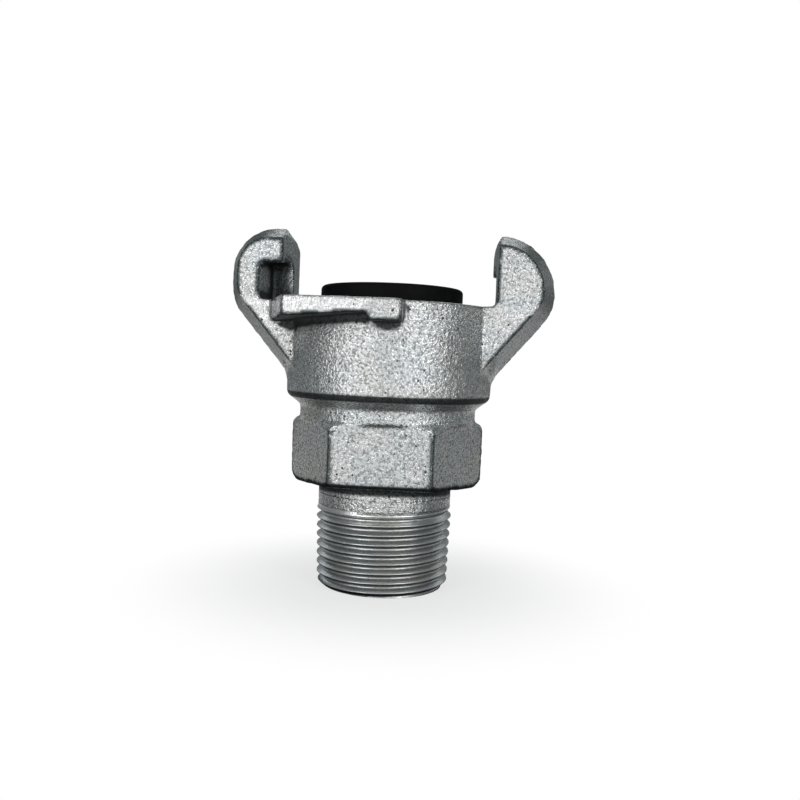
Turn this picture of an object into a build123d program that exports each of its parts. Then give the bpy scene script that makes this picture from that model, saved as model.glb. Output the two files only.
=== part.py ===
from build123d import *
from math import cos, radians, tan
import os

# One half of a claw hose coupling for compressed air: a single casting with a male pipe thread,
# and a rubber washer in its head. It stands on its threaded end. +Z runs up the bore, and the claws
# are at -X and +X. But for the fuller crown of the left claw, the head repeats after half a turn.

# Bore and threaded tail, a three-quarter inch taper pipe thread left plain at its crest size
bore_r = 9.5
thread_end_r = 13.02
thread_length = 16.6
thread_taper = 1 / 32  # radius gained for each millimetre up the thread
thread_end_chamfer = 1.0
tail_neck_r = 13.2
tail_neck_length = 3.4

# Hexagon for the wrench, its flats at the front and back
hex_across_flats = 33.0
hex_height = 12.9
hex_bottom_round_r = 2.5
hex_top_round_r = 1.6
hex_draft = 3.5  # the underside rises to the front and back, away from the parting plane

# Round neck and head
neck_r = 17.4
neck_length = 2.7
head_r = 20.15
head_cone_height = 2.0
head_corner_r = 1.5
head_height = 17.9

# Claws, drafted both ways from the parting plane, with the throat between them
throat_clearance = 0.15  # round the other half's head
throat_corner_r = 1.2
throat_flare_depth = 2.1
throat_flare = 28.0  # from the axis
claw_depth = 11.7
claw_height = 14.6
claw_thickness = 19.4
claw_draft = 17.5
claw_lean = 39.8  # of the underside, from the axis
right_crown_r = 11.4
left_crown_r = 8.8  # this claw is the fuller one
claw_side = 0.4  # straight side between the right claw's crown and its shoulder
claw_shoulder_r = 8.0
claw_root_r = 5.0

# Hook window: a pocket behind a low tooth, closed by a plate at the back
window_depth = 4.4
window_corner_r = 0.6
plate_thickness = 6.9
tooth_length = 3.2
tooth_gap = 7.1
pocket_gap = 8.3
pocket_slope = 0.4
pocket_corner_r = 2.0

# Locking ledge beside each claw, with a ramp underneath and a stop tab at its end
ledge_stand_out = 4.15
ledge_corner_back = 0.9  # behind the crest, as is the next one
ledge_end_back = 0.5
ledge_root_lap = 2.0  # into the claw
ledge_corner_x = 17.8
ledge_end_x = 3.4
ledge_root_depth = 4.1
ledge_thin_depth = 2.5
ledge_corner_r = 1.2
ledge_bite = 0.2
tab_width = 5.9
tab_depth = 3.95
tab_corner_r = 0.7

# Grooved seat in the head, and the washer that snaps into it
head_wall = 3.45
groove_lip = 2.4
groove_depth = 4.5
groove_height = 3.0
washer_side_gap = 0.25
washer_flange_gap = 0.3
washer_wall = 4.25
washer_stand_out = 3.5
washer_edge_chamfer = 0.5

# Heights up the axis
hex_bottom_z = thread_length + tail_neck_length
hex_top_z = hex_bottom_z + hex_height
neck_top_z = hex_top_z + neck_length
wall_bottom_z = neck_top_z + head_cone_height
face_z = wall_bottom_z + head_height
seat_z = face_z - groove_depth
groove_top_z = seat_z + groove_height

# The claws' outline, worked down from their tops
throat_half_width = head_r + throat_clearance
claw_reach = throat_half_width + claw_depth
claw_top_z = face_z + claw_height
claw_shoulder_z = claw_top_z - right_crown_r - claw_side - claw_shoulder_r * tan(radians(claw_lean / 2))
claw_root_z = claw_shoulder_z - (claw_reach - head_r) / tan(radians(claw_lean))
claw_foot_z = claw_root_z - claw_root_r / 2
claw_half = claw_thickness / 2
claw_inset = claw_half * tan(radians(claw_draft))

# Other sizes that follow from those above
thread_top_r = thread_end_r + thread_length * thread_taper
hex_corner_r = hex_across_flats / 2 / cos(radians(30))
hex_draft_rise = hex_corner_r * tan(radians(hex_draft))
window_wall_x = throat_half_width + window_depth
plate_inner_y = claw_half - plate_thickness
ledge_root_x = throat_half_width + ledge_root_lap
ledge_crest_y = head_r + ledge_stand_out
ledge_corner_y = ledge_crest_y - ledge_corner_back
ledge_end_y = ledge_crest_y - ledge_end_back
tab_start_x = ledge_end_x - tab_width
groove_r = head_r - head_wall
mouth_r = groove_r - groove_lip
washer_r = mouth_r - washer_side_gap
washer_bore_r = washer_r - washer_wall
clear = 2.0  # how far a cut runs past what it cuts
throat_flare_z = claw_top_z - throat_flare_depth
throat_top_z = claw_top_z + clear
throat_top_half_width = throat_half_width + (throat_top_z - throat_flare_z) * tan(radians(throat_flare))

# The ledge at the front: its elevation, trimmed to its plan
with BuildPart() as ledge:
    with BuildSketch(Plane.XZ.offset(claw_half - ledge_bite)):
        with BuildLine():
            FilletPolyline(
                (-ledge_root_x, face_z),
                (ledge_end_x, face_z),
                (ledge_end_x, face_z - tab_depth),
                (tab_start_x, face_z - tab_depth),
                (tab_start_x, face_z - ledge_thin_depth),
                (-ledge_root_x, face_z - ledge_root_depth),
                close=True,
                radius=[0, 0, tab_corner_r, tab_corner_r, tab_corner_r, 0],
            )
        make_face()
    extrude(amount=ledge_crest_y)
    with BuildSketch(Plane.XY.offset(face_z)):
        with BuildLine():
            FilletPolyline(
                (-ledge_root_x, -claw_half),
                (-ledge_corner_x, -ledge_corner_y),
                (tab_start_x, -ledge_crest_y),
                (ledge_end_x, -ledge_end_y),
                (ledge_end_x, -claw_half + ledge_bite),
                (-ledge_root_x, -claw_half + ledge_bite),
                close=True,
                radius=[0, ledge_corner_r, 0, ledge_corner_r, 0, 0],
            )
        make_face()
    extrude(amount=-tab_depth, mode=Mode.INTERSECT)

# The hexagon, its corners rounded off above and below and its underside drafted
with BuildPart() as wrench_hexagon:
    with BuildSketch(Plane.XY.offset(hex_bottom_z)):
        RegularPolygon(radius=hex_across_flats / 2, side_count=6, major_radius=False)
    extrude(amount=hex_height)
    with BuildSketch(Plane.XZ):
        with BuildLine():
            FilletPolyline(
                (0, hex_bottom_z),
                (hex_corner_r, hex_bottom_z),
                (hex_corner_r, hex_top_z),
                (0, hex_top_z),
                close=True,
                radius=[0, hex_bottom_round_r, hex_top_round_r, 0],
            )
        make_face()
    revolve(axis=Axis.Z, mode=Mode.INTERSECT)
    with BuildSketch(Plane.YZ):
        Polygon(
            (0, hex_bottom_z),
            (hex_corner_r, hex_bottom_z + hex_draft_rise),
            (hex_corner_r, hex_top_z),
            (-hex_corner_r, hex_top_z),
            (-hex_corner_r, hex_bottom_z + hex_draft_rise),
        )
    extrude(amount=hex_corner_r, both=True, mode=Mode.INTERSECT)


# A claw at +X, drawn in by the draft from its outline at the parting plane to its two flat faces
def claw(crown_r):
    with BuildLine() as outline:
        FilletPolyline(
            (mouth_r, claw_foot_z),
            (head_r, claw_foot_z),
            (head_r, claw_root_z),
            (claw_reach, claw_shoulder_z),
            (claw_reach, claw_top_z),
            (mouth_r, claw_top_z),
            close=True,
            radius=[0, 0, claw_root_r, claw_shoulder_r, crown_r, 0],
        )
    with BuildPart() as one_claw:
        with BuildSketch(Plane.XZ):
            make_face(outline.edges())
        with BuildSketch(Plane.XZ.offset(claw_half)):
            make_face(outline.edges())
            offset(amount=-claw_inset, kind=Kind.INTERSECTION, mode=Mode.REPLACE)
        loft(ruled=True)
        mirror(about=Plane.XZ)
    return one_claw.part


with BuildPart() as coupling_body:
    add(claw(right_crown_r))
    add(claw(left_crown_r), rotation=(0, 0, 180))

    # Throat between the claws, in which the other half's head turns
    with BuildSketch(Plane.XZ):
        with BuildLine():
            FilletPolyline(
                (-throat_half_width, throat_flare_z),
                (-throat_half_width, face_z),
                (throat_half_width, face_z),
                (throat_half_width, throat_flare_z),
                (throat_top_half_width, throat_top_z),
                (-throat_top_half_width, throat_top_z),
                close=True,
                radius=[0, throat_corner_r, throat_corner_r, 0, 0, 0],
            )
        make_face()
    extrude(amount=claw_half + clear, both=True, mode=Mode.SUBTRACT)

    # Hook windows in elevation, the left one open to the front and the right one to the back
    left_wall = Plane(origin=(-window_wall_x, 0, 0), x_dir=(0, 1, 0), z_dir=(1, 0, 0))
    right_wall = Plane(origin=(window_wall_x, 0, 0), x_dir=(0, -1, 0), z_dir=(-1, 0, 0))
    with BuildSketch(left_wall, right_wall):
        with BuildLine():
            FilletPolyline(
                (plate_inner_y, face_z),
                (-claw_half - clear, face_z),
                (-claw_half - clear, face_z + tooth_gap),
                (tooth_length - claw_half, face_z + tooth_gap),
                (tooth_length - claw_half, face_z + pocket_gap),
                (plate_inner_y, face_z + pocket_gap - pocket_slope),
                close=True,
                radius=[window_corner_r, 0, 0, window_corner_r, window_corner_r / 2, pocket_corner_r],
            )
        make_face()
    extrude(amount=window_wall_x - mouth_r, mode=Mode.SUBTRACT)

    # Ledges, front and back
    add(ledge.part)
    add(ledge.part, rotation=(0, 0, 180))

    # Round parts of the casting, from the thread up to the machined face
    with BuildSketch(Plane.XZ):
        with BuildLine():
            FilletPolyline(
                (0, 0),
                (thread_end_r - thread_end_chamfer, 0),
                (thread_end_r + thread_end_chamfer * thread_taper, thread_end_chamfer),
                (thread_top_r, thread_length),
                (tail_neck_r, thread_length),
                (tail_neck_r, hex_top_z),
                (neck_r, hex_top_z),
                (neck_r, neck_top_z),
                (head_r, wall_bottom_z),
                (head_r, face_z),
                (0, face_z),
                close=True,
                radius=[0, 0, 0, 0, 0, 0, 0, 0, head_corner_r, 0, 0],
            )
        make_face()
    revolve(axis=Axis.Z)
    add(wrench_hexagon.part)

    # Bore, and the grooved seat at its top
    with BuildSketch(Plane.XZ):
        Polygon(
            (0, -clear),
            (bore_r, -clear),
            (bore_r, seat_z),
            (groove_r, seat_z),
            (groove_r, groove_top_z),
            (mouth_r, groove_top_z),
            (mouth_r, face_z + clear),
            (0, face_z + clear),
        )
    revolve(axis=Axis.Z, mode=Mode.SUBTRACT)

# The washer lies on the seat, its flange under the head's lip and its rim proud of the face
with BuildPart() as sealing_washer:
    with BuildSketch(Plane.XZ):
        Polygon(
            (washer_bore_r, seat_z),
            (groove_r - washer_side_gap, seat_z),
            (groove_r - washer_side_gap, groove_top_z - washer_flange_gap),
            (washer_r, groove_top_z - washer_flange_gap),
            (washer_r, face_z + washer_stand_out),
            (washer_bore_r, face_z + washer_stand_out),
        )
        chamfer(vertices().group_by(Axis.Y)[-1], washer_edge_chamfer)
    revolve(axis=Axis.Z)

os.makedirs("parts", exist_ok=True)
coupling_body.part.label = "coupling_body"
export_step(coupling_body.part, "parts/coupling_body.step")
sealing_washer.part.label = "sealing_washer"
export_step(sealing_washer.part, "parts/sealing_washer.step")
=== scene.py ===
import bpy
import bmesh
import math
from mathutils import Matrix, Vector, noise
from mathutils.bvhtree import BVHTree


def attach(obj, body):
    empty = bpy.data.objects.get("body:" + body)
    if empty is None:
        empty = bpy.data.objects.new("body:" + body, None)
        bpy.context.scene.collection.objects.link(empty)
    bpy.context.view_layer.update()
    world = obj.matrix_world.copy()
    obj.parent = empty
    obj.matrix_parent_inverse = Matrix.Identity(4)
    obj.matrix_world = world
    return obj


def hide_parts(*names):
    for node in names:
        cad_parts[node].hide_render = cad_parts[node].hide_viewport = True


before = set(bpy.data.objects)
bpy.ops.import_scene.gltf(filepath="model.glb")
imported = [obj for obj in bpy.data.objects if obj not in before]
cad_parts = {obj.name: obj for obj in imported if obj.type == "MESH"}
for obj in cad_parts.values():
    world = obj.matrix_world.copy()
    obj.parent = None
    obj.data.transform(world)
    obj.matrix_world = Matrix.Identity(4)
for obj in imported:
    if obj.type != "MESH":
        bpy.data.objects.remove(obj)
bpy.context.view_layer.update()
mm = 0.001
weldGap = 0.002 * mm  # points nearer to each other than this become one

# Camera, worked out from the photograph: focal length and aim are in pixels of its square picture
cameraSetup = {
    "distance": 170 * mm,
    "yaw": 3.7,
    "eyeHeight": 44.8 * mm,
    "roll": 2.2,
    "picture": 800,
    "focal": 850.0,
    "aim": (389.7, 360.0),
    "sensor": 36,
    "clip": (0.005, 50),
}


def placeCamera(setup):
    yaw, roll = math.radians(setup["yaw"]), math.radians(setup["roll"])
    level = Vector((-math.sin(yaw), math.cos(yaw), 0))
    side = Vector((math.cos(yaw), math.sin(yaw), 0))
    up = Vector((0, 0, 1))
    side, up = side * math.cos(roll) + up * math.sin(roll), up * math.cos(roll) - side * math.sin(roll)
    offX, offY = ((value - setup["picture"] / 2) / setup["focal"] for value in setup["aim"])
    ahead = (level - side * offX + up * offY).normalized()
    side = (side - ahead * side.dot(ahead)).normalized()
    lens = bpy.data.cameras.new("photoCamera")
    lens.sensor_width = setup["sensor"]
    lens.lens = setup["sensor"] * setup["focal"] / setup["picture"]
    lens.clip_start, lens.clip_end = setup["clip"]
    camera = bpy.data.objects.new("photoCamera", lens)
    camera.location = Vector((0, 0, setup["eyeHeight"])) - level * setup["distance"]
    camera.rotation_mode = "QUATERNION"
    camera.rotation_quaternion = Matrix((side, side.cross(ahead), -ahead)).transposed().to_quaternion()
    bpy.context.scene.collection.objects.link(camera)
    bpy.context.scene.camera = camera


# One socket of a node tree, so that shader maths can be written as plain arithmetic
class Wire:
    def __init__(self, sheet, socket):
        self.sheet, self.socket = sheet, socket

    def maths(self, operation, first, second=0.0):
        return self.sheet.node("ShaderNodeMath", {"operation": operation}, {0: first, 1: second})

    def __add__(self, other):
        return self.maths("ADD", self, other)

    def __radd__(self, other):
        return self.maths("ADD", other, self)

    def __sub__(self, other):
        return self.maths("SUBTRACT", self, other)

    def __rsub__(self, other):
        return self.maths("SUBTRACT", other, self)

    def __mul__(self, other):
        return self.maths("MULTIPLY", self, other)

    def __rmul__(self, other):
        return self.maths("MULTIPLY", other, self)

    def __abs__(self):
        return self.maths("ABSOLUTE", self)


# A node tree, emptied first, with one method for any node and short ones for those used often
class Sheet:
    def __init__(self, tree):
        self.tree = tree
        tree.nodes.clear()

    # Settings are set first, then the values or wires of the sockets; out names the output
    def node(self, kind, settings=None, sockets=None, out=0):
        made = self.tree.nodes.new(kind)
        for name, value in (settings or {}).items():
            setattr(made, name, value)
        for key, value in (sockets or {}).items():
            if isinstance(value, Wire):
                self.tree.links.new(value.socket, made.inputs[key])
            else:
                made.inputs[key].default_value = value
        return Wire(self, made.outputs[out]) if made.outputs else None

    def axes(self, vector, names):
        way = self.node("ShaderNodeSeparateXYZ", {}, {0: vector}).socket.node
        return [Wire(self, way.outputs[name]) for name in names]

    def grain(self, place, size, detail, rough, warp=0.0):
        sockets = {"Vector": place, "Scale": 1 / size, "Detail": detail, "Roughness": rough}
        sockets["Distortion"] = warp
        return self.node("ShaderNodeTexNoise", {}, sockets, "Fac")

    def step(self, value, low, high):
        sockets = {"Value": value, "From Min": low, "From Max": high}
        return self.node("ShaderNodeMapRange", {"interpolation_type": "SMOOTHSTEP"}, sockets)

    def blend(self, amount, first, second, way="MIX"):
        sockets = {0: amount, 6: first, 7: second}
        return self.node("ShaderNodeMix", {"data_type": "RGBA", "blend_type": way}, sockets, 2)

    def attribute(self, name):
        return self.node("ShaderNodeAttribute", {"attribute_name": name}, {}, "Fac")


# Studio: the camera sees white all round. Glossy rays see that white through a card in front, and half
# of it overhead and on the floor in front; elsewhere the metal sees a dim room and keeps dark sides.
# Angles are in degrees, azimuths from the front; a span gives where something begins and ends
studio = {
    "lamps": {
        "keyLeft": {"azimuth": -36, "elevation": 21, "size": (0.22, 0.22), "watts": 0.46},
        "keyRight": {"azimuth": 42, "elevation": 21, "size": (0.16, 0.22), "watts": 0.47},
        "sideLeft": {"azimuth": -130, "elevation": 20, "size": (0.24, 0.2), "watts": 0.10},
        "sideRight": {"azimuth": 130, "elevation": 20, "size": (0.24, 0.2), "watts": 0.10},
        "rearFill": {"azimuth": 180, "elevation": 30, "size": (0.3, 0.2), "watts": 0.20},
    },
    "lampDistance": 0.6,
    "lampAim": 0.035,
    # The card fades at its sides and top, has a dimmer gap, and is brighter above the horizon
    "cardEdge": (49, 57),
    "cardGap": (5, 22),
    "cardGapDim": 0.70,
    "cardTop": (36, 54),
    "cardRise": (-4, 12),
    "cardLight": (0.92, 1.0),
    "cardTint": (0.97, 0.99, 1.0, 1),
    "overhead": (52, 74),
    "overheadLight": 0.50,
    # The dim room, darker still behind
    "dimRoom": 0.145,
    "rearRoom": (130, 160),
    "dimRear": 0.025,
    "roomTint": (0.86, 0.98, 1.0, 1),
    "tintSpan": (0.0, 0.5),
    # The floor as the metal sees it, with a lit ring behind; reaches are in metres
    "nearFloor": (0.030, 0.070),
    "frontFloor": (0.55, 1.10),
    "frontGlow": (0.19, 0.09),
    "dimFloor": (0.15, 0.21),
    "dimFloorReach": (0.45, 0.28),
    "ringEdge": (110, 135),
    "ringReach": (0.07, 0.11, 0.28, 0.40),
    "ringLight": 0.37,
    "underLight": 0.008,
    "floorShown": 0.5,
    # The floor as the camera sees it: lit paper keeps the shadow near the object and fades to white
    "paper": (0.85, 0.85, 0.85, 1),
    "shadowReach": (0.014, 0.055),
    "floorFade": 0.70,
    "floorSize": 20.0,
}


def placeLamps(setup):
    for name, spot in setup["lamps"].items():
        azimuth, elevation = math.radians(spot["azimuth"]), math.radians(spot["elevation"])
        level = math.cos(elevation)
        outward = Vector((math.sin(azimuth) * level, -math.cos(azimuth) * level, math.sin(elevation)))
        data = bpy.data.lights.new(name, "AREA")
        data.shape = "RECTANGLE"
        data.size, data.size_y = spot["size"]
        data.energy = spot["watts"]
        lamp = bpy.data.objects.new(name, data)
        lamp.location = Vector((0, 0, setup["lampAim"])) + outward * setup["lampDistance"]
        lamp.rotation_mode = "QUATERNION"
        lamp.rotation_quaternion = outward.to_track_quat("Z", "Y")
        bpy.context.scene.collection.objects.link(lamp)


# Azimuth in degrees of a direction, from its parts to the right and to the front
def azimuthOf(sheet, right, front):
    return sheet.node("ShaderNodeMath", {"operation": "ARCTAN2"}, {0: right, 1: front}) * math.degrees(1)


def frontCard(sheet, azimuth, setup):
    gap = sheet.step(abs(azimuth), *reversed(setup["cardGap"])) * setup["cardGapDim"]
    return sheet.step(abs(azimuth), *reversed(setup["cardEdge"])) * (1 - gap)


# Camera rays and rays through glass together, then glossy rays
def rayKinds(sheet):
    kinds = ("Is Camera Ray", "Is Transmission Ray", "Is Glossy Ray")
    direct, through, glossy = (sheet.node("ShaderNodeLightPath", {}, {}, kind) for kind in kinds)
    return direct + through, glossy


def makeWorld(setup):
    world = bpy.data.worlds.new("studioWorld")
    bpy.context.scene.world = world
    world.use_nodes = True
    sheet = Sheet(world.node_tree)
    seen, glossy = rayKinds(sheet)
    right, ahead, upward = sheet.axes(sheet.node("ShaderNodeTexCoord", {}, {}, "Generated"), "XYZ")
    rise = sheet.node("ShaderNodeMath", {"operation": "ARCSINE"}, {0: upward}) * math.degrees(1)
    azimuth = azimuthOf(sheet, right, 0 - ahead)
    low, high = setup["cardLight"]
    card = frontCard(sheet, azimuth, setup) * sheet.step(rise, *reversed(setup["cardTop"]))
    card = card * (sheet.step(rise, *setup["cardRise"]) * (high - low) + low)
    card = card + sheet.step(rise, *setup["overhead"]) * setup["overheadLight"]
    tint = sheet.blend(sheet.step(card, *setup["tintSpan"]), setup["roomTint"], setup["cardTint"])
    dim = setup["dimRoom"] - sheet.step(abs(azimuth), *setup["rearRoom"]) * setup["dimRear"]
    strength = card * (1 - glossy) + dim
    room = sheet.node("ShaderNodeBackground", {}, {"Color": tint, "Strength": strength})
    white = sheet.node("ShaderNodeBackground", {}, {"Color": (1, 1, 1, 1), "Strength": 1.0})
    light = sheet.node("ShaderNodeMixShader", {}, {0: seen + glossy * card, 1: room, 2: white})
    sheet.node("ShaderNodeOutputWorld", {}, {"Surface": light})


def floorMaterial(setup):
    material = bpy.data.materials.new("paleFloor")
    material.use_nodes = True
    sheet = Sheet(material.node_tree)
    seen, glossy = rayKinds(sheet)
    place = sheet.node("ShaderNodeTexCoord", {}, {}, "Object")
    right, ahead = sheet.axes(place, "XY")
    azimuth = azimuthOf(sheet, right, 0 - ahead)
    reach = sheet.node("ShaderNodeVectorMath", {"operation": "LENGTH"}, {0: place}, "Value")

    paper = sheet.node("ShaderNodeBsdfDiffuse", {}, {"Color": setup["paper"]})
    white = sheet.node("ShaderNodeEmission", {}, {"Strength": 1.0})
    fade = sheet.step(reach, *setup["shadowReach"]) * (1 - setup["floorFade"]) + setup["floorFade"]
    floorSeen = sheet.node("ShaderNodeMixShader", {}, {0: fade, 1: paper, 2: white})

    inner, lit, fading, outer = setup["ringReach"]
    ring = sheet.step(abs(azimuth), *setup["ringEdge"]) * sheet.step(reach, inner, lit)
    ring = ring * sheet.step(reach, outer, fading) * setup["ringLight"]
    low, high = setup["frontFloor"]
    glow = sheet.step(reach, *setup["frontGlow"]) * (high - low) + low
    low, high = setup["dimFloor"]
    dim = sheet.step(reach, *setup["dimFloorReach"]) * (high - low) + low
    card = frontCard(sheet, azimuth, setup)
    near = sheet.step(reach, *setup["nearFloor"])
    strength = (card * glow + dim) * near + ring + setup["underLight"]
    room = sheet.node("ShaderNodeEmission", {}, {"Strength": strength})

    shown = glossy * card * near * setup["floorShown"]
    surface = sheet.node("ShaderNodeMixShader", {}, {0: seen + shown, 1: room, 2: floorSeen})
    sheet.node("ShaderNodeOutputMaterial", {}, {"Surface": surface})
    return material


def makeFloor(setup):
    bm = bmesh.new()
    bmesh.ops.create_grid(bm, x_segments=1, y_segments=1, size=setup["floorSize"])
    mesh = bpy.data.meshes.new("studioFloor")
    bm.to_mesh(mesh)
    bm.free()
    floor = bpy.data.objects.new("studioFloor", mesh)
    bpy.context.scene.collection.objects.link(floor)
    mesh.materials.append(floorMaterial(setup))


# What the casting's points carry for its material, each from 0 to 1: painted shade, dark edge lines, a
# painted highlight, and the turned finish
markNames = ("shaded", "edge", "paintedHighlight", "turned")

# Zinc on rough cast iron
zincLook = {
    "bright": (0.68, 0.69, 0.69, 1),
    "turned": (0.84, 0.85, 0.85, 1),
    # What lies on the zinc, with a painted highlight and painted shade among it, in this order: its
    # colour, how much of it, and how it is mixed in
    "layers": {
        "olive": ((0.975, 0.98, 0.90, 1), 0.8, "MULTIPLY"),
        "cool": ((0.93, 0.975, 1.0, 1), 0.8, "MULTIPLY"),
        # painted highlight on the ledges' upright fronts
        "paintedHighlight": ((0.97, 0.97, 0.98, 1), 0.65, "MIX"),
        "dark": ((0.27, 0.29, 0.295, 1), 0.66, "MULTIPLY"),
        "pale": ((0.93, 0.94, 0.95, 1), 0.45, "MIX"),
        "dull": ((0.27, 0.29, 0.295, 1), 0.16, "MULTIPLY"),
        # painted shade along edges that stand out and on the claws' outer bands
        "outline": ((0.060, 0.078, 0.082, 1), 0.92, "MIX"),
        "pore": ((0.030, 0.036, 0.037, 1), 0.9, "MIX"),
        # painted shade, darkest in sheltered places and on undersides
        "paintedShade": ((0.011, 0.017, 0.018, 1), 0.92, "MIX"),
    },
    # Size, detail, roughness and distortion of each noise
    "noises": {
        "grain": (0.48 * mm, 2.0, 0.6, 0.1),
        "fine": (0.216 * mm, 2.0, 0.6),
        "lump": (1.15 * mm, 3.0, 0.55, 0.3),
        "patch": (9 * mm, 3.0, 0.6, 0.6),
    },
    # Where in its noise each mark begins and is full
    "spans": {
        "dark": (0.475, 0.385),
        "pale": (0.53, 0.63),
        "dull": (0.48, 0.32),
        "outline": (0.22, 0.45),
        "olive": (0.45, 0.75),
        "cool": (0.55, 0.3),
        "patch": (0.3, 0.7),
        "pore": (-0.03, 0.05),
        "paintedShade": (0.10, 0.85),
    },
    # The pores: distance apart, size, how many of the cells have one, and their ragged rims
    "poreSize": 0.95 * mm,
    "poreWidth": 0.24,
    "porePick": (0.66, 1.0),
    "rimSize": 0.3125 * mm,
    "rimPush": 0.28 * mm,
    "shadeRagged": 0.25,  # how much the lumps break up the edge of the painted shade
    "highlightClean": 0.7,  # dark grain lost under the painted highlight, then where it is turned
    "turnedClean": 0.7,
    "turnedPlain": 0.6,  # pale grain lost where it is turned
    "relief": {"grain": 0.55, "fine": 0.22, "lump": 0.55, "pore": 0.8, "turned": 0.16},
    "reliefDepth": 0.35 * mm,
    "reliefStrength": 0.9,
    "roughness": 0.195,
    "roughened": {"dark": 0.14, "pore": 0.3, "paintedShade": 0.3, "patch": 0.05, "turned": 0.13},
    "metallic": 0.95,
    "poreMetal": 0.6,  # metallic lost in a pore
}


# Only a few of the cells have a pore, and its rim is pushed about to look ragged
def poreMask(sheet, place, look):
    push = sheet.node("ShaderNodeTexNoise", {}, {"Vector": place, "Scale": 1 / look["rimSize"]}, "Color")
    ragged = {0: push, 1: (look["rimPush"],) * 3, 2: place}
    ragged = sheet.node("ShaderNodeVectorMath", {"operation": "MULTIPLY_ADD"}, ragged)
    cells = {"Vector": ragged, "Scale": 1 / look["poreSize"]}
    nearness = sheet.node("ShaderNodeTexVoronoi", {}, cells, "Distance")
    cellColour = sheet.node("ShaderNodeTexVoronoi", {}, cells, "Color")
    pick = sheet.node("ShaderNodeSeparateColor", {}, {0: cellColour}, "Red")
    depth = sheet.step(pick, *look["porePick"]) * look["poreWidth"] - nearness
    return sheet.step(depth, *look["spans"]["pore"])


def zincMaterial(look):
    material = bpy.data.materials.new("zincCasting")
    material.use_nodes = True
    sheet = Sheet(material.node_tree)
    place = sheet.node("ShaderNodeTexCoord", {}, {}, "Object")
    shaded, edge, paintedHighlight, turned = (sheet.attribute(name) for name in markNames)
    grain, fine, lump, patch = (sheet.grain(place, *values) for values in look["noises"].values())
    spans, cast = look["spans"], 1 - turned

    # dark grain is lost under the painted highlight and where the zinc is turned
    clean = 1 - paintedHighlight * look["highlightClean"] - turned * look["turnedClean"]
    masks = {
        "olive": sheet.step(patch, *spans["olive"]),
        "cool": sheet.step(patch, *spans["cool"]),
        "patch": sheet.step(patch, *spans["patch"]),
        "paintedHighlight": paintedHighlight,
        "turned": turned,
        "dark": sheet.step(grain, *spans["dark"]) * clean,
        "pale": sheet.step(grain, *spans["pale"]) * (1 - turned * look["turnedPlain"]),
        "dull": sheet.step(lump, *spans["dull"]) * cast,
        # painted shade along edges, broken up by the lumps
        "outline": edge * sheet.step(lump, *spans["outline"]) * cast,
        "pore": poreMask(sheet, place, look) * cast,
        # painted shade, its edge broken up by the lumps
        "paintedShade": sheet.step(shaded + (lump - 0.5) * look["shadeRagged"], *spans["paintedShade"]),
    }
    colour = sheet.blend(turned, look["bright"], look["turned"])
    for name, (tint, share, way) in look["layers"].items():
        colour = sheet.blend(masks[name] * share, colour, tint, way)
    rough = look["roughness"]
    for name, amount in look["roughened"].items():
        rough = rough + masks[name] * amount

    heights, pore = look["relief"], masks["pore"]
    relief = grain * heights["grain"] + fine * heights["fine"] + lump * heights["lump"]
    relief = (relief - pore * heights["pore"]) * cast + grain * turned * heights["turned"]
    bump = {"Height": relief, "Distance": look["reliefDepth"], "Strength": look["reliefStrength"]}
    shader = sheet.node("ShaderNodeBsdfPrincipled", {}, {
        "Base Color": colour,
        "Roughness": rough,
        "Metallic": look["metallic"] - pore * look["poreMetal"],
        "Normal": sheet.node("ShaderNodeBump", {}, bump),
    })
    sheet.node("ShaderNodeOutputMaterial", {}, {"Surface": shader})
    return material


# Matt black rubber with a faint bloom
rubberLook = {
    "black": (0.002, 0.0021, 0.0023, 1),
    "bloom": (0.008, 0.0085, 0.009, 1),
    "bloomNoise": (3.5 * mm, 4.0, 0.6),
    "bloomSpan": (0.5, 0.8),
    "bloomShare": 0.6,
    "skinNoise": (0.35 * mm, 3.0, 0.6),
    "roughness": 0.55,
    "bloomRough": 0.14,
    "skinRough": 0.08,
    "specular": 0.10,
    "reliefDepth": 0.03 * mm,
    "reliefStrength": 0.5,
}


def rubberMaterial(look):
    material = bpy.data.materials.new("blackRubber")
    material.use_nodes = True
    sheet = Sheet(material.node_tree)
    place = sheet.node("ShaderNodeTexCoord", {}, {}, "Object")
    bloom = sheet.step(sheet.grain(place, *look["bloomNoise"]), *look["bloomSpan"])
    skin = sheet.grain(place, *look["skinNoise"])
    bump = {"Height": skin, "Distance": look["reliefDepth"], "Strength": look["reliefStrength"]}
    shader = sheet.node("ShaderNodeBsdfPrincipled", {}, {
        "Base Color": sheet.blend(bloom * look["bloomShare"], look["black"], look["bloom"]),
        "Roughness": look["roughness"] + bloom * look["bloomRough"] + skin * look["skinRough"],
        "Specular IOR Level": look["specular"],
        "Normal": sheet.node("ShaderNodeBump", {}, bump),
    })
    sheet.node("ShaderNodeOutputMaterial", {}, {"Surface": shader})
    return material


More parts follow.
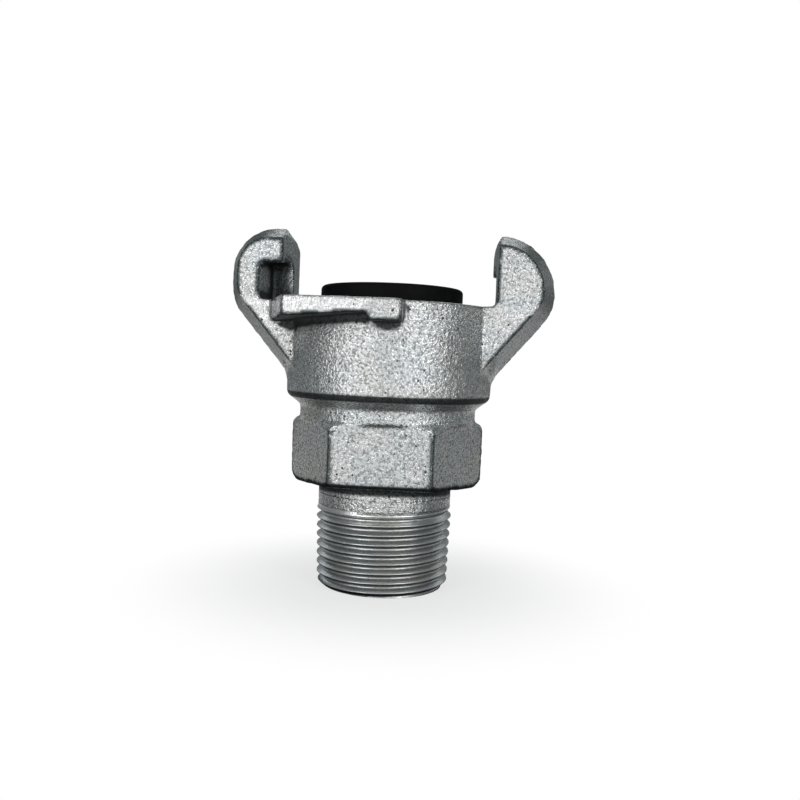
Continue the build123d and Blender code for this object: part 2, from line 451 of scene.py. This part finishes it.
# The casting's mesh: the solid remeshed in voxels and smoothed, cut off where the threaded tail begins
casting = {
    "voxel": 0.41 * mm,
    "smoothShare": 0.5,
    "smoothSteps": 3,
    "cutHeight": 18.4 * mm,
    "edgeRounds": 4,
    # Reach, then the shares of blocked rays at which the painted shade begins and is full
    "shelter": {
        "corner": (4.5 * mm, 0.05, 0.17),
        "pocket": (11 * mm, 0.13, 0.36),
        "pocketShare": 0.75,
        "rays": 24,
        "rayTurn": 2.39996,  # radians, the golden angle
        "rayStart": 0.12 * mm,
    },
    # Rough skin and waves: swings to the millimetre, shift of the noise, and depth
    "relief": ((0.75, (0, 0, 0), 0.035 * mm), (0.16, (7, 3, 1), 0.05 * mm)),
    "calm": (0.2, 1.4),  # millimetres above the cut where the relief begins and is full
    # The flash along the parting plane, its places in millimetres
    "flash": {
        "height": 0.16 * mm,
        "width": 0.34,
        "facing": (0.5, 0.95),
        "radii": (17.0, 18.5),
        "bottom": 19,
        "ragged": (0.55, 0.9, 0.9),  # mean share of its height, change, and swings to the millimetre
    },
}

# Where the casting's finish changes, and where shade and highlight are painted on it: its places are in
# millimetres, and the rest are shares
castMarks = {
    "turned": {
        "face": (55.2, 55.8),
        "faceRadius": 20.4,
        "faceUp": 0.9,
        "seatRadius": 17,
        "seatBottom": 50,
        "boreRadius": 9.8,
    },
    # Painted shade on the ledges' undersides and on edges that turn under
    "shaded": {
        "ledge": (46, 54.5),
        "ledgeRadius": 19.8,
        "ledgeSide": 10,
        "ledgeDown": (0.4, 0.8),
        "ledgeShare": 0.9,
        # Heights between which an edge that turns under is dark, and how far out these lie
        "underEdges": (((36.8, 39.6), 18.9), ((19.9, 23.2), 14.6)),
        "turnBegins": (0.06, 0.28),
        "turnEnds": (0.66, 0.80),
        "neck": (31.5, 34.2),
        "neckShare": 0.2,
    },
    "edge": {
        # How far an edge stands out, in metres, where its line begins and is full
        "depth": (0.055 * mm, 0.11 * mm),
        "wrenchDepth": (0.013 * mm, 0.042 * mm),
        "wrench": (20.5, 31.5),
        # Places whose edges stay plain
        "neck": (31.5, 36),
        "face": (54.2, 56),
        "throatBottom": 50,
        "throatRadius": 20.2,
        "plainShare": 0.15,
        # The sloping outer bands of the claws, darkened as painted shade
        "clawBottom": 36,
        "clawSide": 19.5,
        "bandFacing": 0.55,
        "bandOutward": -0.2,
        "bandRadii": (20.6, 22.0),
        "bandShade": 0.55,
    },
    # Painted highlight on the ledges' upright fronts, weaker on the stop tabs
    "paintedHighlight": {
        "ledge": (50, 55.6),
        "ledgeRadius": 22.8,
        "upright": 0.5,
        "facing": 0.8,
        "tab": (-4, -1),
        "tabLoss": 0.75,
    },
}

# The three-quarter inch taper pipe thread, cut where the solid has its plain cone
thread = {
    "pitch": 1.814 * mm,
    "crestRadius": 13.02 * mm,
    "taper": 1 / 32,
    "length": 16.6 * mm,
    "lift": 0.10 * mm,
    "startTurns": 1.6,  # turns spun below the end and cut off there
    "spareTurns": 4,
    "runOut": (2.0 * mm, 0.5 * mm),  # below the top of the thread
    "neckRadius": 13.2 * mm,
    "boreRadius": 9.5 * mm,
    "boreChamfer": 0.35 * mm,
    "endRadius": 12.02 * mm,
    "endSlope": 1.03,
    "stepsPerTurn": 96,
    "weldGap": 0.003 * mm,
    "wear": ((1.1 * mm, 0.12 * mm), (0.5 * mm, 0.06 * mm)),  # sizes and depths of worn places
    "wearFade": 1.0 * mm,
    "turnedGap": 0.4 * mm,  # the turned finish ends this far below the top of the thread
    # Painted shade on the thread's flanks that face down: where it begins and is full, and how dark
    "shadeDown": (0.35, 0.75),
    "shadeShare": 0.8,
    "outsideGap": 0.5 * mm,
    # Height and depth below the crest in millimetres, from one root up to the next
    "profile": (
        (0.0, 1.15), (0.125, 1.115), (0.217, 1.02), (0.78, 0.05), (0.85, 0.0),
        (0.965, 0.0), (1.035, 0.05), (1.598, 1.02), (1.69, 1.115),
    ),
}


def radius(point):
    return math.hypot(point.x, point.y)


def easeStep(value, low, high):
    share = min(max((value - low) / (high - low), 0.0), 1.0)
    return share * share * (3 - 2 * share)


def within(value, span):
    return span[0] < value < span[1]


def newObject(name, bm):
    mesh = bpy.data.meshes.new(name)
    bm.to_mesh(mesh)
    bm.free()
    mesh.shade_smooth()
    piece = bpy.data.objects.new(name, mesh)
    bpy.context.scene.collection.objects.link(piece)
    return piece


def cutLevel(bm, height, keepAbove):
    whole = bm.verts[:] + bm.edges[:] + bm.faces[:]
    level = {"plane_co": (0, 0, height), "plane_no": (0, 0, 1), "dist": 1e-7}
    bmesh.ops.bisect_plane(bm, geom=whole, clear_inner=keepAbove, clear_outer=not keepAbove, **level)


def openRing(bm, height):
    level = {v for v in bm.verts if abs(v.co.z - height) < 0.01 * mm}
    return [e for e in bm.edges if e.is_boundary and level.issuperset(e.verts)]


# Carries a ring of open edges on to another radius and height
def growRing(bm, ring, wide, height):
    grown = bmesh.ops.extrude_edge_only(bm, edges=ring)["geom"]
    for v in (part for part in grown if isinstance(part, bmesh.types.BMVert)):
        scale = wide / radius(v.co)
        v.co = Vector((v.co.x * scale, v.co.y * scale, height))
    return [part for part in grown if isinstance(part, bmesh.types.BMEdge) and part.is_boundary]


# Tapers the spun thread, runs it out into the neck, chamfers its end and wears its crests
def shapeThread(v, size):
    length, flat = size["length"], radius(v.co)
    wide = flat + v.co.z * size["taper"]
    begins, ends = size["runOut"]
    wide += (size["neckRadius"] - wide) * easeStep(v.co.z, length - begins, length - ends)
    wide = min(wide, size["endRadius"] + v.co.z * size["endSlope"])
    wear = sum(noise.noise(v.co / across) * depth for across, depth in size["wear"])
    wide += min(wear, 0.0) * (1 - easeStep(v.co.z, length, length + size["wearFade"]))
    v.co.x, v.co.y = v.co.x * wide / flat, v.co.y * wide / flat


# The cut thread and the bore inside it: an upright profile spun up its helix, trimmed level and shaped
def makeTail(size, top):
    bm = bmesh.new()
    pitch, steps, line = size["pitch"], size["stepsPerTurn"], []
    for turn in range(int(size["length"] / pitch) + size["spareTurns"]):
        root = (turn - size["startTurns"]) * pitch
        for height, drop in size["profile"]:
            place = (size["crestRadius"] - drop * mm, 0, root + height * mm - size["lift"])
            line.append(bm.verts.new(place))
    edges = [bm.edges.new(pair) for pair in zip(line, line[1:])]
    climb = {"cent": (0, 0, 0), "axis": (0, 0, 1), "dvec": (0, 0, pitch / steps)}
    bmesh.ops.spin(bm, geom=line + edges, angle=2 * math.pi, steps=steps, **climb)
    bmesh.ops.remove_doubles(bm, verts=bm.verts, dist=size["weldGap"])
    cutLevel(bm, 0.0, True)
    cutLevel(bm, top, False)
    for v in bm.verts:
        shapeThread(v, size)
    ring, bore, chamfer = openRing(bm, 0.0), size["boreRadius"], size["boreChamfer"]
    for wide, height in ((bore + chamfer, 0.0), (bore, chamfer), (bore, top)):
        ring = growRing(bm, ring, wide, height)
    bmesh.ops.recalc_face_normals(bm, faces=bm.faces)
    mesh = bpy.data.meshes.new("threadedTail")
    bm.to_mesh(mesh)
    bm.free()
    return mesh


# How far each point stands out from the surface once that is smoothed over some rounds
def standOut(bm, rounds):
    before = [(v.co.copy(), v.normal.copy()) for v in bm.verts]
    axes = {"use_axis_x": True, "use_axis_y": True, "use_axis_z": True}
    for _ in range(rounds):
        bmesh.ops.smooth_vert(bm, verts=bm.verts, factor=1.0, **axes)
    heights = [(place - v.co).dot(normal) for v, (place, normal) in zip(bm.verts, before)]
    for v, (place, _) in zip(bm.verts, before):
        v.co = place
    return heights


# Directions above a surface, closer together towards its normal
def rayWays(rays, turn):
    for i in range(rays):
        sine, around = math.sqrt((i + 0.5) / rays), i * turn
        yield Vector((sine * math.cos(around), sine * math.sin(around), math.sqrt(1 - sine * sine)))


# How far each point is shut in by the rest of the casting: in a corner, or at the bottom of a pocket
def shelter(bm, setup):
    tree, rays = BVHTree.FromBMesh(bm), setup["rays"]
    (corner, *cornerSpan), (pocket, *pocketSpan) = setup["corner"], setup["pocket"]
    ways = list(rayWays(rays, setup["rayTurn"]))
    shares = []
    for v in bm.verts:
        start = v.co + v.normal * setup["rayStart"]
        turn = v.normal.to_track_quat("Z", "Y").to_matrix()
        hits = (tree.ray_cast(start, turn @ way, pocket)[3] for way in ways)
        hits = [far for far in hits if far is not None]
        near = sum(max(1 - far / corner, 0) for far in hits) / rays
        wide = sum(1 - far / pocket for far in hits) / rays
        inPocket = easeStep(wide, *pocketSpan) * setup["pocketShare"]
        shares.append(max(easeStep(near, *cornerSpan), inPocket))
    return shares


# Turned on a lathe: the head's face, its seat and the bore
def isTurned(spot, flat, normal, at):
    onFace = within(spot.z, at["face"]) and flat < at["faceRadius"] and normal.z > at["faceUp"]
    inSeat = flat < at["seatRadius"] and spot.z > at["seatBottom"]
    return onFace or inSeat or flat < at["boreRadius"]


# Painted shade: darker in sheltered places, on the ledges' undersides, and on lower edges where they
# turn under
def shadedAt(spot, flat, normal, share, at):
    down = -normal.z
    byLedge = within(spot.z, at["ledge"]) and flat > at["ledgeRadius"] and abs(spot.y) > at["ledgeSide"]
    shaded = max(share, easeStep(down, *at["ledgeDown"]) * at["ledgeShare"] * byLedge)
    if any(within(spot.z, heights) and flat > wide for heights, wide in at["underEdges"]):
        shaded = max(shaded, easeStep(down, *at["turnBegins"]) * (1 - easeStep(down, *at["turnEnds"])))
    return shaded * at["neckShare"] if within(spot.z, at["neck"]) else shaded


# Painted shade: dark lines along edges that stand out, and on the claws' sloping outer bands
def edgeAt(spot, flat, normal, height, at):
    span = at["wrenchDepth"] if within(spot.z, at["wrench"]) else at["depth"]
    inThroat = spot.z > at["throatBottom"] and flat < at["throatRadius"]
    plain = inThroat or within(spot.z, at["face"]) or within(spot.z, at["neck"])
    edge = easeStep(height, *span) * (at["plainShare"] if plain else 1.0)
    onClaw = spot.z > at["clawBottom"] and abs(spot.x) > at["clawSide"]
    if onClaw and abs(normal.y) < at["bandFacing"] and normal.x * spot.x > at["bandOutward"]:
        edge = max(edge, at["bandShade"] * easeStep(flat, *at["bandRadii"]))
    return edge


# Painted highlight: the upright fronts of the ledges are lightened, less so towards their stop tabs
def paintedHighlightAt(spot, flat, normal, at):
    onLedge = within(spot.z, at["ledge"]) and flat > at["ledgeRadius"]
    facing = abs(normal.z) < at["upright"] and abs(normal.y) > at["facing"]
    alongLedge = spot.x if spot.y < 0 else -spot.x
    return (1 - at["tabLoss"] * easeStep(alongLedge, *at["tab"])) * (onLedge and facing)


# Height of the rough skin, with the thin ragged flash along the parting plane
def riseAt(spot, flat, normal, size):
    rise = 0.0
    for swings, shift, depth in size["relief"]:
        rise += noise.noise(spot * swings + Vector(shift)) * depth
    flash = size["flash"]
    mean, change, swings = flash["ragged"]
    ridge = math.exp(-((spot.y / flash["width"]) ** 2)) * easeStep(1 - abs(normal.y), *flash["facing"])
    ragged = mean + change * noise.noise(Vector((spot.x, 0, spot.z)) * swings)
    outside = easeStep(flat, *flash["radii"]) if spot.z > flash["bottom"] else 0.0
    rise += ridge * ragged * outside * flash["height"]
    return rise * easeStep(spot.z - size["cutHeight"] / mm, *size["calm"])


# The casting's skin above the cut, and the object that is to hold it
def makeSkin(size):
    bm = bmesh.new()
    bm.from_mesh(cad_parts["coupling_body"].data)
    bmesh.ops.remove_doubles(bm, verts=bm.verts, dist=weldGap)
    piece = newObject("castBody", bm)
    piece.data.materials.clear()
    skin = piece.modifiers.new("castSkin", "REMESH")
    skin.mode, skin.voxel_size, skin.adaptivity = "VOXEL", size["voxel"], 0.0
    edges = piece.modifiers.new("castEdges", "SMOOTH")
    edges.factor, edges.iterations = size["smoothShare"], size["smoothSteps"]
    graph = bpy.context.evaluated_depsgraph_get()
    skinMesh = bpy.data.meshes.new_from_object(piece.evaluated_get(graph))
    piece.modifiers.clear()
    bm = bmesh.new()
    bm.from_mesh(skinMesh)
    bpy.data.meshes.remove(skinMesh)
    cutLevel(bm, size["cutHeight"], True)
    print("cast skin:", len(bm.faces), "faces")
    return piece, bm


# Marks the points for the material, then raises the relief on all that isn't turned
def dressSkin(bm, size, marks):
    bm.normal_update()
    sheltered = shelter(bm, size["shelter"])
    print("sheltered places found")
    edgeHeights = standOut(bm, size["edgeRounds"])
    newLayer = bm.verts.layers.float.new
    shadedLayer, edgeLayer, paintedHighlightLayer, turnedLayer = (newLayer(name) for name in markNames)
    moves = []
    # Each point gets its turned finish, painted shade, dark edge lines of painted shade and a painted
    # highlight
    for v, share, height in zip(bm.verts, sheltered, edgeHeights):
        point = (v.co / mm, radius(v.co) / mm, v.normal)
        turned = isTurned(*point, marks["turned"])
        v[turnedLayer] = float(turned)
        v[shadedLayer] = shadedAt(*point, share, marks["shaded"])
        v[edgeLayer] = edgeAt(*point, height, marks["edge"])
        v[paintedHighlightLayer] = paintedHighlightAt(*point, marks["paintedHighlight"])
        moves.append(Vector() if turned else v.normal * riseAt(*point, size))
    for v, move in zip(bm.verts, moves):
        v.co += move


# The tail takes the place of the plain cone, joined ring to ring at the neck and in the bore
def joinTail(bm, size, top):
    tail = makeTail(size, top)
    bm.from_mesh(tail)
    bpy.data.meshes.remove(tail)
    rims = openRing(bm, top)
    between = (size["boreRadius"] + size["neckRadius"]) / 2
    for inBore in (True, False):
        ring = [e for e in rims if (radius(e.verts[0].co) < between) == inBore]
        bmesh.ops.bridge_loops(bm, edges=ring)
    bmesh.ops.recalc_face_normals(bm, faces=bm.faces)
    bm.normal_update()
    shadedLayer, turnedLayer = (bm.verts.layers.float[name] for name in ("shaded", "turned"))
    for v in bm.verts:
        if v.co.z < size["length"] - size["turnedGap"]:
            outside = radius(v.co) > size["boreRadius"] + size["outsideGap"]
            v[turnedLayer] = 1.0
            # painted shade on the outer flanks that face down
            v[shadedLayer] = easeStep(-v.normal.z, *size["shadeDown"]) * outside * size["shadeShare"]


def makeCasting(size, marks, threadSize):
    piece, bm = makeSkin(size)
    dressSkin(bm, size, marks)
    joinTail(bm, threadSize, size["cutHeight"])
    openEdges = sum(e.is_boundary for e in bm.edges)
    triangles = sum(len(f.verts) - 2 for f in bm.faces)
    print("open edges:", openEdges, "triangles:", triangles)
    bm.to_mesh(piece.data)
    bm.free()
    piece.data.shade_smooth()
    return piece


# The sealing washer, whose upper rims are rounded
washer = {
    "bore": 9.8 * mm,
    "outer": 14.05 * mm,
    "flange": 16.45 * mm,
    "seat": 51.0 * mm,
    "flangeTop": 53.7 * mm,
    "top": 59.0 * mm,
    "rimRadius": 0.8 * mm,
    "rimSegments": 6,
    "steps": 128,
}


# The washer's section, its two upper corners rounded, spun about the axis
def makeWasher(size):
    bm = bmesh.new()
    corners = [("bore", "seat"), ("flange", "seat"), ("flange", "flangeTop")]
    corners += [("outer", "flangeTop"), ("outer", "top"), ("bore", "top")]
    loop = [bm.verts.new((size[wide], 0, size[height])) for wide, height in corners]
    for i in range(len(loop)):
        bm.edges.new((loop[i - 1], loop[i]))
    rounding = {"offset": size["rimRadius"], "segments": size["rimSegments"], "profile": 0.5}
    bmesh.ops.bevel(bm, geom=loop[4:], affect="VERTICES", material=-1, **rounding)
    turn = {"cent": (0, 0, 0), "axis": (0, 0, 1), "angle": 2 * math.pi, "use_merge": True}
    bmesh.ops.spin(bm, geom=bm.verts[:] + bm.edges[:], steps=size["steps"], **turn)
    bmesh.ops.remove_doubles(bm, verts=bm.verts, dist=weldGap)
    bmesh.ops.recalc_face_normals(bm, faces=bm.faces)
    return newObject("washerRing", bm)


placeCamera(cameraSetup)
placeLamps(studio)
makeWorld(studio)
makeFloor(studio)
print("camera, lamps and floor placed")

castBody = makeCasting(casting, castMarks, thread)
castBody.data.materials.append(zincMaterial(zincLook))
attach(castBody, "root")
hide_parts("coupling_body")
print("casting made")

washerRing = makeWasher(washer)
washerRing.data.materials.append(rubberMaterial(rubberLook))
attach(washerRing, "root")
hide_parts("sealing_washer")
print("washer made")

bpy.context.scene.view_settings.view_transform = "Standard"
